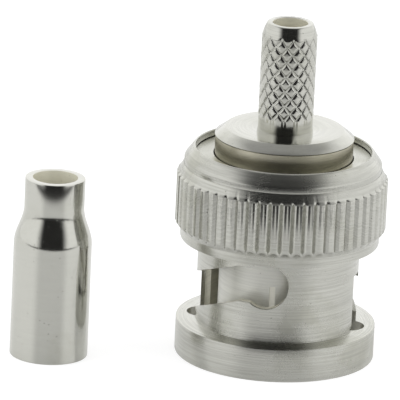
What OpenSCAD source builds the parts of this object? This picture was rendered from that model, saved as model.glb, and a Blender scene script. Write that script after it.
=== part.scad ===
// Crimp plug with a two-slot bayonet coupling nut, for thin coaxial cable, and its loose crimp ferrule.
// Millimetres. The origin is on the plug's axis at the coupling nut's front face, on which it stands.
// +Z runs along the axis towards the cable end. Bearings are degrees about Z, from +X towards +Y.

/* [Coupling nut] */
// Diameter over the straight knurl
knurl_d = 14.5; // [13.9:0.1:15.5]
// Height of the knurl between its end chamfers
knurl_len = 3.45; // [2.8:0.05:4.5]
// Number of knurl grooves
knurl_grooves = 56; // [40:2:64]
// Depth of a knurl groove
knurl_depth = 0.2; // [0.1:0.02:0.26]
// Height of the chamfer in front of the knurl
front_chamfer_len = 0.5; // [0.3:0.05:0.8]
// Height of the chamfer behind the knurl
rear_chamfer_len = 0.65; // [0.4:0.05:0.9]
// Bearing of the first knurl groove
knurl_bearing = 270.4; // [264:0.1:276]
// Height of the steep bevel at the knurl's rear edge
edge_bevel_len = 0.08; // [0.06:0.01:0.14]
// Radial depth of the steep bevel at the knurl's rear edge
edge_bevel_depth = 0.14; // [0.06:0.01:0.16]
// Radial depth of the chamfer in front of the knurl
front_chamfer_depth = 0.4; // [0.3:0.02:0.6]
// Height of the plain collar in front of the knurl
collar_len = 0.65; // [0.5:0.05:0.9]
// Radial depth of the chamfer behind the knurl
rear_chamfer_depth = 0.45; // [0.4:0.01:0.5]
// Height of the plain band behind the knurl
band_len = 0.4; // [0.2:0.05:0.8]
// Radial depth of the rolled shoulder behind the band
shoulder_depth = 0.6; // [0.5:0.02:0.64]
// Height of the rolled shoulder behind the band
shoulder_len = 0.73; // [0.65:0.01:0.8]
// Reach of the rolled rim over the closing washer
rim_reach = 0.31; // [0.25:0.01:0.4]
// Thickness of the rolled rim over the closing washer
rim_t = 0.42; // [0.3:0.02:0.5]
// Wall of the slotted barrel
barrel_wall = 0.66; // [0.5:0.02:0.8]
// Height of the slotted barrel between the flange and the head
barrel_len = 5.85; // [5.6:0.05:6.4]
// Thickness of the front flange
flange_len = 2.35; // [2:0.05:2.5]
// Width of the small edge breaks on turned edges
edge_break = 0.07; // [0.05:0.01:0.12]
// Width of the seat between the bore that takes the mating socket and the head's bore
seat_w = 1.3; // [1.25:0.01:1.35]
// Width of the lead-in chamfer at the bore's mouth
lead_in = 0.35; // [0.2:0.05:0.45]
// Depth from the head's front to the seat of the plug's flange
seat_depth = 1.4; // [1.1:0.05:1.8]
// Wall of the head between its bore and the knurl's roots
head_wall = 0.85; // [0.75:0.01:0.95]

/* [Bayonet] */
// Diameter of a lock hole
lock_hole_d = 3.25; // [3:0.05:3.4]
// Height of the lock holes' centres above the front face
lock_hole_z = 6.33; // [6.2:0.01:6.5]
// Bearing of the first lock hole
lock_bearing = 261.3; // [250:0.1:290]
// Turn from a keyway to its lock hole
bayonet_turn = 89.4; // [80:0.1:100]
// Width of a bayonet slot, along the axis
slot_w = 2.57; // [2.3:0.01:2.7]
// Rise of a slot for each degree of turn
slot_rise = 0.034; // [0.03:0.001:0.035]
// Level stretch of a slot before its lock hole, in degrees
slot_level = 19.3; // [14:0.1:26]
// Width of a keyway
keyway_w = 2.3; // [2.1:0.05:2.5]
// Reach of a keyway past the barrel, into the front flange
keyway_reach = 0.64; // [0.5:0.02:0.8]
// Wall of the front flange outside a keyway
keyway_wall = 0.68; // [0.4:0.02:0.9]
// Height of a keyway's rear end above the front face
keyway_len = 6.25; // [6:0.05:6.4]

/* [Washers and spring] */
// Thickness of the closing washer under the rim
closing_t = 0.35; // [0.25:0.05:0.5]
// Width of the ledge that the closing washer sits on
ledge_w = 0.15; // [0.1:0.01:0.2]
// Height of the slit between the closing washer and the rim
rim_slit = 0.08; // [0.04:0.01:0.15]
// Thickness of the thrust washer
thrust_t = 0.35; // [0.25:0.05:0.5]
// Number of waves in a spring washer
spring_waves = 3; // [2:1:5]
// Thickness of a spring washer's strip
spring_t = 0.2; // [0.15:0.01:0.3]
// Gap between the spring and the walls on both sides of it
spring_gap = 0.25; // [0.15:0.05:0.35]

/* [Plug body] */
// Space between the front body and the head's bore, for the spring and washers
spring_space = 1.45; // [1.35:0.01:1.5]
// Overhang of the rear disc's edge over the front body
disc_overhang = 0.05; // [0.02:0.01:0.1]
// Thickness of the front body's flange
body_flange_len = 2; // [1.6:0.05:2.2]
// Height of the front body's rear face above the front face
body_end = 15.48; // [15.2:0.02:15.8]
// Wall of the front body around the rear body's spigot
body_wall = 0.8; // [0.6:0.05:0.95]
// Space between the contact and the nut's bore, for the mating socket's barrel
socket_space = 0.85; // [0.8:0.01:0.95]
// Wall of the spring contact
contact_wall = 0.43; // [0.35:0.01:0.5]
// Depth of the contact's tip behind the front face
contact_tip = 1.9; // [1.5:0.05:2.4]
// Depth that the contact is pressed into the front body
contact_press = 2.4; // [1.8:0.05:2.5]
// Number of slits in the contact
contact_slits = 4; // [2:1:6]
// Width of a slit in the contact
slit_w = 0.4; // [0.3:0.02:0.6]
// Height of the slits' rear ends above the front face
slit_end = 5.9; // [5:0.05:7]
// Bearing of the first slit
slit_bearing = 265.8; // [255:0.1:275]
// Thickness of the gasket
gasket_t = 0.85; // [0.6:0.05:1.2]
// Gap between the gasket and what it lies inside
gasket_gap = 0.15; // [0.1:0.01:0.2]

/* [Insulator and pin] */
// Wall of the insulator's front sleeve
sleeve_wall = 1.18; // [1.1:0.01:1.25]
// Depth of the sleeve's front end behind the contact's tip
sleeve_inset = 0.5; // [0.3:0.05:1]
// Height of the sleeve's floor above the front face
sleeve_floor = 8.6; // [8.2:0.05:9]
// Thickness of the insulator's rear collar
insulator_collar = 0.6; // [0.5:0.05:0.8]
// Diameter of the centre pin
pin_d = 1.35; // [1.3:0.01:1.4]
// Depth of the pin's tip behind the contact's tip
pin_inset = 0.9; // [0.6:0.05:1.4]
// Length of the pin's tapered tip
pin_taper = 0.7; // [0.5:0.05:0.9]
// Diameter of the pin's wire pot
pot_d = 1.9; // [1.8:0.05:2.1]
// Length of the pin's wire pot
pot_len = 3.4; // [3:0.05:3.6]
// Diameter of the hole for the cable's inner conductor
wire_d = 0.6; // [0.5:0.05:0.9]
// Depth of the hole for the cable's inner conductor
wire_depth = 2.2; // [1.5:0.05:2.6]

/* [Rear body] */
// Thickness of the rear disc
disc_len = 0.62; // [0.5:0.02:0.8]
// Radial depth of the rear disc's chamfer
disc_chamfer = 0.73; // [0.4:0.01:1]
// Length of the spigot that is pressed into the front body
spigot_len = 2.5; // [2.2:0.05:2.7]
// Wall of the spigot
spigot_wall = 0.9; // [0.7:0.05:1.1]
// Diameter of the crimp stem
stem_d = 3.74; // [3.6:0.02:3.9]
// Length of the crimp stem
stem_len = 7.5; // [6.5:0.05:8.5]
// Diameter of the stem's bore for the cable's core
stem_bore_d = 2.4; // [2:0.05:2.5]
// Diameter of the stem's rear edge inside its taper
stem_tip_d = 3.04; // [2.9:0.02:3.2]
// Length of the stem's taper
stem_taper = 0.84; // [0.6:0.02:1.1]
// Bulge of the taper's middle over a straight cone
taper_bulge = 0.06; // [0.02:0.01:0.1]
// Plain length of the stem in front of its knurl
stem_plain = 0.97; // [0.6:0.01:1.4]

/* [Stem knurl] */
// Number of diamonds around the stem
diamonds = 14; // [10:1:18]
// Number of diamond half-rows along the stem
half_rows = 11; // [7:1:13]
// Bearing of a groove crossing at the knurl's front end
diamond_bearing = 266.2; // [254:0.1:280]
// Height of the diamonds' middles above the plain stem
crown_h = 0.03; // [0.02:0.01:0.06]
// Rise of a diamond's middle over its crown's corners
crown_dome = 0.02; // [0.01:0.005:0.025]
// Depth of the grooves between the diamonds
diamond_depth = 0.11; // [0.08:0.01:0.14]
// Part of each half diamond that slopes down to its groove
slope_part = 0.22; // [0.1:0.01:0.35]

/* [Crimp ferrule] */
// Height of the ferrule
ferrule_len = 12.65; // [12:0.05:13.5]
// Outer diameter of the ferrule's wide end
ferrule_d = 5.36; // [5.3:0.02:5.6]
// Wall of the ferrule's wide end
ferrule_wall = 0.45; // [0.35:0.01:0.5]
// Height of the wide end below the necking
ferrule_wide_len = 7.95; // [7:0.05:8.5]
// Height of the necking
necking_len = 2.6; // [2:0.05:3]
// Outer diameter of the neck
neck_d = 4.12; // [4:0.02:4.3]
// Diameter of the neck's bore for the cable's jacket
neck_bore_d = 3.06; // [2.9:0.02:3.2]
// Distance of the ferrule's axis from the plug's axis
ferrule_stand_off = 15.76; // [14:0.02:20]
// Bearing of the ferrule from the plug's axis
ferrule_bearing = 191.2; // [180:0.1:205]

/* [Fits] */
// Radial clearance of pieces that turn or slide in each other
run_gap = 0.08; // [0.03:0.01:0.1]
// Radial clearance of pieces that are pressed together
press_gap = 0.02; // [0.01:0.01:0.03]

/* [Hidden] */
$fn = 96;
overcut = 0.3;

// Heights on the nut, from its front face
head_z = flange_len + barrel_len;
collar_end = head_z + collar_len;
knurl_z = collar_end + front_chamfer_len;
knurl_end = knurl_z + knurl_len;
band_z = knurl_end + rear_chamfer_len;
shoulder_z = band_z + band_len;
nut_end = shoulder_z + shoulder_len + edge_break;
seat_z = head_z + seat_depth;
closing_z = nut_end - rim_t - rim_slit - closing_t;
thrust_z = closing_z - thrust_t;

// Diameters on the nut
collar_d = knurl_d - 2 * front_chamfer_depth;
band_d = knurl_d - 2 * rear_chamfer_depth;
head_bore_d = knurl_d - 2 * (knurl_depth + head_wall);
ledge_d = head_bore_d + 2 * ledge_w;
rim_d = ledge_d - 2 * rim_reach;
nut_bore_d = head_bore_d - 2 * seat_w;
barrel_d = nut_bore_d + 2 * barrel_wall;
keyway_d = barrel_d + 2 * keyway_reach;
flange_d = keyway_d + 2 * keyway_wall;

// Heights and diameters on the plug
body_d = head_bore_d - 2 * spring_space;
contact_d = nut_bore_d - 2 * socket_space;
body_flange_d = head_bore_d - 2 * run_gap;
spring_z = seat_z + body_flange_len;
spring_h = thrust_z - spring_z;
contact_end = seat_z + contact_press;
spigot_d = body_d - 2 * body_wall;
spigot_z = body_end - spigot_len;
collar_z = spigot_z - insulator_collar;
insulator_d = contact_d - 2 * contact_wall - 2 * press_gap;
sleeve_d = insulator_d - 2 * sleeve_wall;
pin_tip_z = contact_tip + pin_inset;
pot_z = spigot_z - pot_len / 2;
pot_end = pot_z + pot_len;
disc_z = body_end + disc_len;
disc_d = body_d + 2 * disc_overhang;
disc_flat_d = disc_d - 2 * disc_chamfer;
stem_end = disc_z + stem_len;
stem_knurl_z = disc_z + stem_plain;
stem_knurl_len = stem_len - stem_plain - stem_taper;
half_row = stem_knurl_len / half_rows;
core_r = stem_d / 2 + crown_h - 2 * diamond_depth;
diamond_step = 360 / diamonds;

// A solid of revolution from a list of [radius, height] points
module turned(points) {
    rotate_extrude() polygon(points);
}

// A flat ring standing on height z
module ring(outer_d, inner_d, z, h) {
    translate([0, 0, z]) difference() {
        cylinder(d = outer_d, h = h);
        translate([0, 0, -overcut]) cylinder(d = inner_d, h = h + 2 * overcut);
    }
}

// Points of the quarter oval that rolls the nut's shoulder over into its rim
function shoulder_points(steps = 8) = [for (k = [0 : steps])
    [band_d / 2 - shoulder_depth * (1 - cos(90 * k / steps)), shoulder_z + shoulder_len * sin(90 * k / steps)]];

// The nut before its slots and knurl are cut
module nut_blank() {
    turned(concat([
        [nut_bore_d / 2 + lead_in, 0],
        [flange_d / 2 - edge_break, 0],
        [flange_d / 2, edge_break],
        [flange_d / 2, flange_len - edge_break],
        [flange_d / 2 - edge_break, flange_len],
        [barrel_d / 2, flange_len],
        [barrel_d / 2, head_z],
        [collar_d / 2 - 2 * edge_break, head_z],
        [collar_d / 2, head_z + edge_break],
        [collar_d / 2, collar_end],
        [knurl_d / 2, knurl_z],
        [knurl_d / 2, knurl_end - edge_bevel_len],
        [knurl_d / 2 - edge_bevel_depth, knurl_end],
        [band_d / 2, band_z]],
        shoulder_points(), [
        [rim_d / 2 + edge_break, nut_end],
        [rim_d / 2, nut_end - edge_break],
        [rim_d / 2, nut_end - rim_t],
        [ledge_d / 2, nut_end - rim_t],
        [ledge_d / 2, closing_z],
        [head_bore_d / 2, closing_z],
        [head_bore_d / 2, seat_z],
        [nut_bore_d / 2, seat_z],
        [nut_bore_d / 2, lead_in]]));
}

// Height of a slot's centre line, t degrees after its keyway
function slot_height(t) = lock_hole_z - slot_rise * max(0, bayonet_turn - slot_level - t);

// The helical run of one bayonet slot, from its keyway to its lock hole
module slot_run(steps = 24) {
    inner = nut_bore_d / 2 - overcut;
    outer = barrel_d / 2 + overcut;
    corners = [[inner, -slot_w / 2], [outer, -slot_w / 2], [outer, slot_w / 2], [inner, slot_w / 2]];
    points = [for (k = [0 : steps], c = corners) let (t = bayonet_turn * k / steps)
        [c[0] * cos(t), c[0] * sin(t), slot_height(t) + c[1]]];
    sides = [for (k = [0 : steps - 1], e = [0 : 3]) let (a = 4 * k + e, b = 4 * k + (e + 1) % 4)
        each [[a, b, b + 4], [a, b + 4, a + 4]]];
    ends = [[3, 2, 1, 0], [for (e = [0 : 3]) 4 * steps + e]];
    polyhedron(points, concat(sides, ends));
}

// Keyway, slot and lock hole of one bayonet stud, with the keyway on +X
module bayonet_cut() {
    mill_r = keyway_w / 2;
    mill_x = keyway_d / 2 - mill_r;
    translate([0, 0, -overcut]) {
        translate([mill_x, 0, 0]) cylinder(r = mill_r, h = keyway_len + overcut);
        translate([contact_d / 2, -mill_r, 0]) cube([mill_x - contact_d / 2, keyway_w, keyway_len + overcut]);
    }
    slot_run();
    rotate([0, 0, bayonet_turn]) translate([contact_d / 2, 0, lock_hole_z]) rotate([0, 90, 0])
        cylinder(d = lock_hole_d, h = (barrel_d - contact_d) / 2 + overcut);
}

// One V groove of the straight knurl, on +X
module knurl_groove() {
    root = knurl_d / 2 - knurl_depth;
    reach = knurl_depth + overcut;
    translate([0, 0, head_z]) linear_extrude(height = shoulder_z - head_z)
        polygon([[root, 0], [root + reach, -reach], [root + reach, reach]]);
}

module coupling_nut() color("silver") difference() {
    nut_blank();
    for (side = [0, 180]) rotate([0, 0, lock_bearing - bayonet_turn + side]) bayonet_cut();
    for (k = [0 : knurl_grooves - 1]) rotate([0, 0, knurl_bearing + k * 360 / knurl_grooves]) knurl_groove();
}

module closing_washer() color("gainsboro")
    ring(ledge_d - 2 * press_gap, body_d + 2 * run_gap, closing_z, closing_t);

module thrust_washer() color("gainsboro")
    ring(head_bore_d - 2 * run_gap, body_d + 2 * run_gap, thrust_z, thrust_t);

// One waved spring washer: lift is the height of its centre line at bearing 0, turned by phase
module spring_washer(mid_z, wave_h, phase) {
    inner = body_d / 2 + spring_gap;
    outer = head_bore_d / 2 - spring_gap;
    stations = 24 * spring_waves;
    corners = [[inner, -spring_t / 2], [outer, -spring_t / 2], [outer, spring_t / 2], [inner, spring_t / 2]];
    points = [for (k = [0 : stations - 1], c = corners) let (t = 360 * k / stations)
        [c[0] * cos(t), c[0] * sin(t), mid_z + wave_h / 2 * cos(spring_waves * t + phase) + c[1]]];
    sides = [for (k = [0 : stations - 1], e = [0 : 3])
        let (next = 4 * ((k + 1) % stations), f = (e + 1) % 4, a = 4 * k + e, b = 4 * k + f, c = next + f, d = next + e)
        each [[a, b, c], [a, c, d]]];
    polyhedron(points, sides);
}

module wave_spring() color("darkgray") {
    share = spring_h / 2;
    wave_h = share - spring_t - press_gap;
    spring_washer(spring_z + share / 2, wave_h, 0);
    spring_washer(spring_z + share * 1.5, wave_h, 180);
}

module front_body() color("silver") turned([
    [contact_d / 2 + press_gap, seat_z],
    [body_flange_d / 2 - edge_break, seat_z],
    [body_flange_d / 2, seat_z + edge_break],
    [body_flange_d / 2, spring_z - edge_break],
    [body_flange_d / 2 - edge_break, spring_z],
    [body_d / 2, spring_z],
    [body_d / 2, body_end],
    [spigot_d / 2, body_end],
    [spigot_d / 2, collar_z],
    [insulator_d / 2 + press_gap, collar_z],
    [insulator_d / 2 + press_gap, contact_end],
    [contact_d / 2 + press_gap, contact_end]]);

module outer_contact() color("silver") difference() {
    turned([
        [contact_d / 2 - contact_wall + edge_break, contact_tip],
        [contact_d / 2 - edge_break, contact_tip],
        [contact_d / 2, contact_tip + edge_break],
        [contact_d / 2, contact_end],
        [contact_d / 2 - contact_wall, contact_end],
        [contact_d / 2 - contact_wall, contact_tip + edge_break]]);
    for (k = [0 : contact_slits - 1]) rotate([0, 0, slit_bearing + k * 360 / contact_slits])
        translate([0, -slit_w / 2, contact_tip - overcut])
            cube([contact_d, slit_w, slit_end - contact_tip + overcut]);
}

module gasket() color("firebrick")
    ring(nut_bore_d - 2 * gasket_gap, contact_d + 2 * press_gap, seat_z - gasket_t, gasket_t);

module insulator() color("white") turned([
    [sleeve_d / 2, contact_tip + sleeve_inset],
    [insulator_d / 2, contact_tip + sleeve_inset],
    [insulator_d / 2, collar_z],
    [spigot_d / 2 - press_gap, collar_z],
    [spigot_d / 2 - press_gap, spigot_z],
    [pot_d / 2 + press_gap, spigot_z],
    [pot_d / 2 + press_gap, pot_z],
    [pin_d / 2 + press_gap, pot_z],
    [pin_d / 2 + press_gap, sleeve_floor],
    [sleeve_d / 2, sleeve_floor]]);

module center_pin() color("gold") difference() {
    turned([
        [0, pin_tip_z],
        [pin_d / 4, pin_tip_z],
        [pin_d / 2, pin_tip_z + pin_taper],
        [pin_d / 2, pot_z],
        [pot_d / 2, pot_z],
        [pot_d / 2, pot_end],
        [0, pot_end]]);
    translate([0, 0, pot_end - wire_depth]) cylinder(d = wire_d, h = wire_depth + overcut);
}

// The stem's diamond knurl as one closed skin: groove crossings on a staggered lattice, and a domed
// crown inside each diamond between them. The first and last rows are half diamonds.
module diamond_knurl() {
    middle_r = stem_d / 2 + crown_h;
    crown_r = middle_r - crown_dome;
    groove_r = middle_r - diamond_depth;
    keep = 1 - slope_part;
    last = half_rows;
    function at(r, column, row) = [r * cos(column * diamond_step), r * sin(column * diamond_step),
        stem_knurl_z + row * half_row];
    function shift(row) = (row % 2) / 2;
    function low(row) = row == 0 ? 0 : -keep;
    function high(row) = row == last ? 0 : keep;
    // Lattice crossings, then the crown corners of each diamond and its middle: left, low, right, high, middle
    crossings = [for (j = [0 : last], i = [0 : diamonds - 1]) at(groove_r, i + shift(j), j)];
    crowns = [for (j = [0 : last], i = [0 : diamonds - 1]) let (mid = i + shift(j) + 0.5)
        each [at(crown_r, mid - keep / 2, j), at(crown_r, mid, j + low(j)),
            at(crown_r, mid + keep / 2, j), at(crown_r, mid, j + high(j)),
            at(middle_r, mid, j + (low(j) + high(j)) / 2)]];
    ends = [[0, 0, stem_knurl_z], [0, 0, stem_knurl_z + stem_knurl_len]];
    function crossing(j, i) = j * diamonds + (i + diamonds) % diamonds;
    function crown(j, i, corner) = len(crossings) + 5 * (j * diamonds + i) + corner;
    base = len(crossings) + len(crowns);
    faces = [for (j = [0 : last], i = [0 : diamonds - 1]) let (
            left = crossing(j, i), right = crossing(j, i + 1), over = i + j % 2,
            l = crown(j, i, 0), b = crown(j, i, 1), r = crown(j, i, 2), t = crown(j, i, 3), m = crown(j, i, 4))
        each concat(
            [[l, t, m], [t, r, m], [r, b, m], [b, l, m]],
            j > 0 ? let (below = crossing(j - 1, over))
                    [[left, l, b], [left, b, below], [right, below, b], [right, b, r]]
                : [[base, left, l], [base, l, b], [base, b, r], [base, r, right]],
            j < last ? let (above = crossing(j + 1, over))
                    [[left, t, l], [left, above, t], [right, t, above], [right, r, t]]
                : [[base + 1, l, left], [base + 1, t, l], [base + 1, r, t], [base + 1, right, r]])];
    polyhedron(concat(crossings, crowns, ends), faces);
}

// Points of the stem's bulged taper, from its knurl to its rear edge
function taper_points(steps = 8) = [for (k = [0 : steps])
    [stem_d / 2 - (stem_d - stem_tip_d) / 2 * k / steps + taper_bulge * sin(180 * k / steps),
        stem_end - stem_taper * (1 - k / steps)]];

module rear_body() color("silver") difference() {
    union() {
        turned([
            [0, spigot_z],
            [spigot_d / 2 - press_gap, spigot_z],
            [spigot_d / 2 - press_gap, body_end],
            [disc_d / 2, body_end],
            [disc_flat_d / 2, disc_z],
            [stem_d / 2, disc_z],
            [stem_d / 2, stem_knurl_z],
            [0, stem_knurl_z]]);
        rotate([0, 0, diamond_bearing]) diamond_knurl();
        turned(concat([
            [0, disc_z],
            [core_r, disc_z],
            [core_r, stem_end - stem_taper]],
            taper_points(), [
            [0, stem_end]]));
    }
    translate([0, 0, spigot_z - overcut])
        cylinder(d = spigot_d - 2 * spigot_wall, h = spigot_len + overcut);
    translate([0, 0, body_end - overcut]) cylinder(d = stem_bore_d, h = stem_end - body_end + 2 * overcut);
}

// Profile of the ferrule's necking: a smooth step from the wide radius to the neck's
function necking(wide_r, neck_r, steps = 16) = [for (k = [0 : steps])
    [wide_r + (neck_r - wide_r) * (1 - cos(180 * k / steps)) / 2, ferrule_wide_len + necking_len * k / steps]];

module crimp_ferrule() color("silver")
    rotate([0, 0, ferrule_bearing]) translate([ferrule_stand_off, 0, 0]) difference() {
        turned(concat([
            [0, 0],
            [ferrule_d / 2 - edge_break, 0],
            [ferrule_d / 2, edge_break]],
            necking(ferrule_d / 2, neck_d / 2), [
            [neck_d / 2, ferrule_len - edge_break],
            [neck_d / 2 - edge_break, ferrule_len],
            [0, ferrule_len]]));
        turned(concat([
            [0, -overcut],
            [ferrule_d / 2 - ferrule_wall, -overcut]],
            necking(ferrule_d / 2 - ferrule_wall, neck_bore_d / 2), [
            [neck_bore_d / 2, ferrule_len + overcut],
            [0, ferrule_len + overcut]]));
    }

coupling_nut();
closing_washer();
thrust_washer();
wave_spring();
front_body();
outer_contact();
gasket();
insulator();
center_pin();
rear_body();
crimp_ferrule();
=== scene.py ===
"""Studio scene of a crimp plug with a bayonet coupling nut and its loose crimp ferrule.

The solid model comes in as a fixed frame. This script models the visible turned pieces in finer detail, dresses
every piece in a procedural finish, and sets up the camera, the floor and the light. Sizes are in millimetres.
"""
import logging
import math
from collections.abc import Callable, Iterable
from dataclasses import dataclass, field
from enum import Enum
from functools import partialmethod

import bmesh
import bpy
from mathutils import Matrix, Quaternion, Vector


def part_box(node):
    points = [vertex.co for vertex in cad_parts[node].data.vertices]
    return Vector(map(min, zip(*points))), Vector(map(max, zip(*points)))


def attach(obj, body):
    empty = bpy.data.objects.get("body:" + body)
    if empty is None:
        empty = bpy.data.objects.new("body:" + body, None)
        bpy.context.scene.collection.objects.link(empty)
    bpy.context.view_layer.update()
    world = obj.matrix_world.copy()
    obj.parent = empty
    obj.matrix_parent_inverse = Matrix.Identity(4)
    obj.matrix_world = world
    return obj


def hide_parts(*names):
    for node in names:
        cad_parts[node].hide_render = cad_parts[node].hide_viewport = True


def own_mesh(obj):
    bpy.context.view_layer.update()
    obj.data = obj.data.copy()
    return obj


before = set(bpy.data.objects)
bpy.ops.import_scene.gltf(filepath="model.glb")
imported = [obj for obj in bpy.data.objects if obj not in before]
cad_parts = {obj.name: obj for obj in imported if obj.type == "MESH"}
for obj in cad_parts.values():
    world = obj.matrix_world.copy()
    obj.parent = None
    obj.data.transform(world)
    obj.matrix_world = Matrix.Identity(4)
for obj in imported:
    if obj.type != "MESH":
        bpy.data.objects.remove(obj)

LOG = logging.getLogger("plug")
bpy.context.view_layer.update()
MM = 0.001
Colour = tuple[float, float, float]
Profile = list[tuple[float, float]]
FLOAT, VECTOR = "NodeSocketFloat", "NodeSocketVector"


class Body(Enum):
    """The moving bodies of the part."""

    PLUG = "plug_body"
    SPRING = "spring_carrier"
    COUPLING = "coupling"


# ---------------------------------------------------------------------------------------------------------------
# Bench: modelling helpers
# ---------------------------------------------------------------------------------------------------------------

def deselect() -> None:
    """Clear the object selection."""
    bpy.ops.object.select_all(action="DESELECT")


def only(piece: bpy.types.Object) -> None:
    """Select one object alone and make it active.

    Args:
        piece: The object to select.
    """
    deselect()
    piece.select_set(True)
    bpy.context.view_layer.objects.active = piece


def select_vertices(test: Callable[[Vector], bool]) -> None:
    """Select the vertices of the mesh in edit mode that pass a test.

    Args:
        test: Takes a vertex position in millimetres.
    """
    mesh = bmesh.from_edit_mesh(bpy.context.edit_object.data)
    for vertex in mesh.verts:
        vertex.select = test(vertex.co)
    mesh.select_flush_mode()
    bmesh.update_edit_mesh(bpy.context.edit_object.data)


def open_for_editing() -> bpy.types.Object:
    """Apply the new object's placement and open it in edit mode.

    Returns:
        The object.
    """
    bpy.ops.object.transform_apply(location=True, rotation=True, scale=True)
    bpy.ops.object.mode_set(mode="EDIT")
    return bpy.context.object


def scale_about_axis(factor: float) -> None:
    """Scale the selection about the Z axis, in X and Y alone.

    Args:
        factor: The scale.
    """
    bpy.ops.transform.resize(value=(factor, factor, 1), center_override=(0, 0, 0))


def lathe(name: str, profile: Profile, sides: int, phase: float = 0.0) -> bpy.types.Object:
    """Turn a closed profile about the Z axis, ring by ring, from a circle that is extruded.

    Args:
        name: Name of the new piece.
        profile: Points of radius and height, listed with the material on their left.
        sides: Vertices in each ring.
        phase: Turn of the first vertex about Z, in degrees.

    Returns:
        The turned piece, in millimetres and in object mode.
    """
    deselect()
    radius, height = profile[0]
    bpy.ops.mesh.primitive_circle_add(vertices=sides, radius=radius, location=(0, 0, height))
    piece = open_for_editing()
    piece.name = piece.data.name = name
    bpy.ops.mesh.select_all(action="SELECT")
    bpy.ops.transform.rotate(value=-math.radians(phase), orient_axis="Z", center_override=(0, 0, 0))
    for next_radius, next_height in profile[1:] + profile[:1]:
        bpy.ops.mesh.extrude_region_move(TRANSFORM_OT_translate={"value": (0, 0, next_height - height)})
        scale_about_axis(next_radius / radius)
        radius, height = next_radius, next_height
    bpy.ops.mesh.select_all(action="SELECT")
    bpy.ops.mesh.remove_doubles(threshold=1e-5)
    bpy.ops.mesh.select_all(action="SELECT")
    bpy.ops.mesh.normals_make_consistent(inside=False)
    bpy.ops.object.mode_set(mode="OBJECT")
    return piece


def cut(piece: bpy.types.Object, cutter: bpy.types.Object) -> None:
    """Cut a tool's shape out of a piece and throw the tool away.

    Args:
        piece: The piece that is cut.
        cutter: The tool, a closed mesh.
    """
    only(piece)
    modifier = piece.modifiers.new("cut", "BOOLEAN")
    modifier.operation = "DIFFERENCE"
    modifier.solver = "EXACT"
    modifier.object = cutter
    bpy.ops.object.modifier_apply(modifier=modifier.name)
    bpy.data.objects.remove(cutter)


def place(piece: bpy.types.Object, body: Body, slot: str, *nodes: str, smooth: float = 32.0) -> None:
    """Bring a finished piece from millimetres to metres, shade it crisply and hang it on its body.

    Args:
        piece: The piece, modelled in millimetres.
        body: The body that it moves with.
        slot: The record's material slot; not used.
        *nodes: The solids that it stands for.
        smooth: Angle under which its faces are shaded smooth, in degrees.
    """
    only(piece)
    piece.scale = (MM, MM, MM)
    bpy.ops.object.transform_apply(location=True, rotation=True, scale=True)
    bpy.ops.object.shade_smooth_by_angle(angle=math.radians(smooth))
    modifier = piece.modifiers.new("crisp", "WEIGHTED_NORMAL")
    modifier.keep_sharp = True
    bpy.ops.object.modifier_apply(modifier=modifier.name)
    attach(piece, body.value)
    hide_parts(*nodes)
    LOG.info("%s: %d faces, rides on %s", piece.name, len(piece.data.polygons), body.value)


def rounded(corner_a: tuple[float, float], corner: tuple[float, float], corner_b: tuple[float, float],
            radius: float, steps: int = 2) -> Profile:
    """Round one corner of a profile with a short curve.

    Args:
        corner_a: The profile's point before the corner.
        corner: The sharp corner.
        corner_b: The profile's point after the corner.
        radius: Distance from the corner at which the curve starts and ends.
        steps: Segments in the curve.

    Returns:
        The points of the curve, in the profile's order.
    """
    here = Vector(corner)
    start = here + (Vector(corner_a) - here).normalized() * radius
    end = here + (Vector(corner_b) - here).normalized() * radius
    points = []
    for k in range(steps + 1):
        t = k / steps
        points.append(tuple(start.lerp(here, t).lerp(here.lerp(end, t), t)))
    return points


def soften(profile: Profile, radii: dict[int, float]) -> Profile:
    """Round the named corners of a closed profile.

    Args:
        profile: The sharp profile.
        radii: Rounding distance by the index of the corner.

    Returns:
        The profile with its corners rounded.
    """
    points: Profile = []
    for k, corner in enumerate(profile):
        if k in radii:
            points += rounded(profile[k - 1], corner, profile[(k + 1) % len(profile)], radii[k])
        else:
            points.append(corner)
    return points


# ---------------------------------------------------------------------------------------------------------------
# Finishes
# ---------------------------------------------------------------------------------------------------------------

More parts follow.
